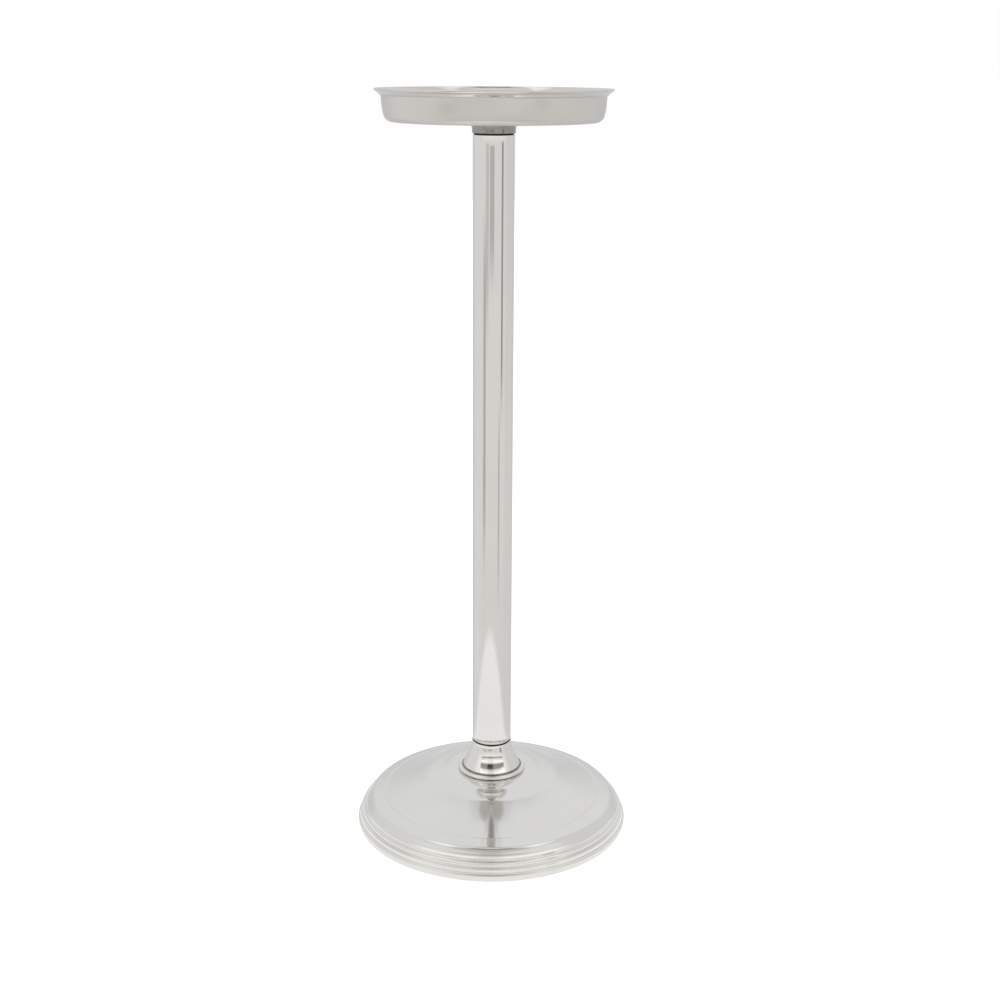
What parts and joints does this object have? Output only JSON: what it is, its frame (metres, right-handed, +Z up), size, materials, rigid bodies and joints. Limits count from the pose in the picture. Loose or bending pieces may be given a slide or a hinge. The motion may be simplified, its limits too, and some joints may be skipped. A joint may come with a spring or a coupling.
{
  "type": "champagne bucket stand",
  "caption": "Free-standing floor stand: a shallow round tray for a wine bucket on a slim polished tube, with a cone collar and a weighted domed base.",
  "frame": {"origin": "on the floor, at the centre of the base, under the tube's axis", "axes": "+Z up along the tube's axis from the base to the tray; the stand is round about Z, so X and Y are free"},
  "size_m": [0.2256, 0.2256, 0.6],
  "materials": {
    "polished_steel": "mirror-polished stainless steel with fine spinning lines",
    "zinc_steel": "zinc-plated steel fasteners",
    "cast_iron": "rough cast iron, black primer",
    "painted_cover": "black powder coat",
    "black_rubber": "matt black rubber"
  },
  "bodies": {
    "base": {"base_dome": "polished_steel", "base_weight": "cast_iron", "base_cover": "painted_cover", "base_collar": "polished_steel", "base_stud": "zinc_steel", "base_nut": "zinc_steel", "base_spring_washer": "zinc_steel", "base_washer": "zinc_steel", "dome_washer": "zinc_steel", "dome_nut": "zinc_steel", "cover_screw_1": "zinc_steel", "cover_screw_2": "zinc_steel", "cover_screw_3": "zinc_steel", "base_foot_1": "black_rubber", "base_foot_2": "black_rubber", "base_foot_3": "black_rubber", "base_foot_4": "black_rubber"},
    "lower_seal": {"lower_seal_ring": "black_rubber"},
    "pole": {"pole_tube": "polished_steel", "lower_plug": "zinc_steel", "upper_plug": "zinc_steel"},
    "upper_seal": {"upper_seal_ring": "black_rubber"},
    "tray": {"tray_dish": "polished_steel", "tray_collar": "polished_steel", "tray_bolt": "zinc_steel", "tray_washer": "zinc_steel", "tray_nut": "zinc_steel"}
  },
  "joints": [
    {"name": "pole_rise", "type": "slide", "parent": "base", "child": "lower_seal", "axis": [0, 0, 1], "range_m": [0, 0.012]},
    {"name": "pole_turn", "type": "hinge", "parent": "lower_seal", "child": "pole", "pos_m": [0, 0, 0.0727], "axis": [0, 0, 1], "range_deg": [0, 2880]},
    {"name": "tray_rise", "type": "slide", "parent": "pole", "child": "upper_seal", "axis": [0, 0, 1], "range_m": [0, 0.01]},
    {"name": "tray_turn", "type": "hinge", "parent": "upper_seal", "child": "tray", "pos_m": [0, 0, 0.5675], "axis": [0, 0, 1], "range_deg": [0, 2880]}
  ],
  "couplings": [
    {"joint": "pole_rise", "follows": "pole_turn", "m_per_rad": 0.00023873},
    {"joint": "tray_rise", "follows": "tray_turn", "m_per_rad": 0.00019894}
  ]
}
